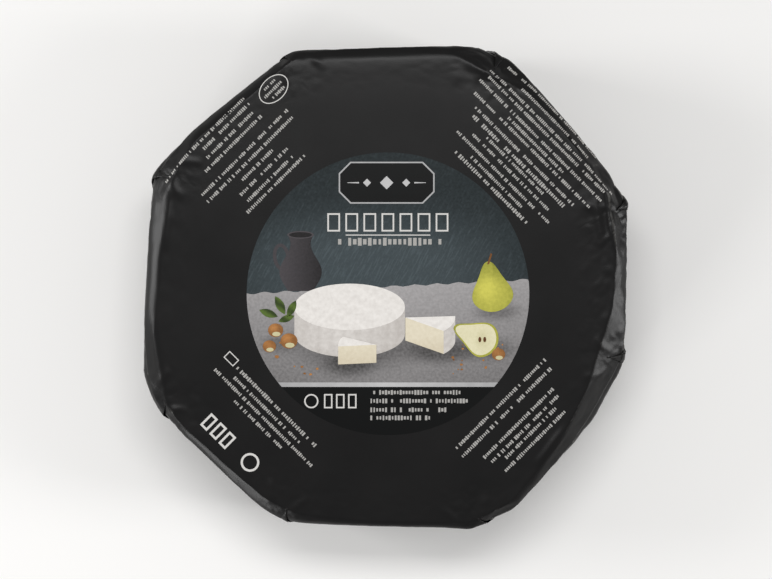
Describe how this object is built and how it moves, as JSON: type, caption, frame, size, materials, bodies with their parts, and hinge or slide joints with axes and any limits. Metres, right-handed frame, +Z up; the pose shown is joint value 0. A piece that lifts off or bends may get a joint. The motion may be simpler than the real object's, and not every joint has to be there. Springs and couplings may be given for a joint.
{
  "type": "paper-wrapped camembert cheese",
  "caption": "Round soft cheese shut in pleated satin black paper with a printed top and a round label under its base.",
  "frame": {"origin": "centre of the base, on the surface that the pack rests on", "axes": "+Z up through the flat printed top; +Y towards the head of the print, +X to its right"},
  "size_m": [0.1096, 0.109, 0.029],
  "materials": {
    "wrapping_paper": "satin",
    "label_paper": "matte",
    "printing_ink": "satin"
  },
  "bodies": {
    "root": {"paper_wrapped_cheese": "wrapping_paper", "base_label": "label_paper"}
  },
  "joints": []
}
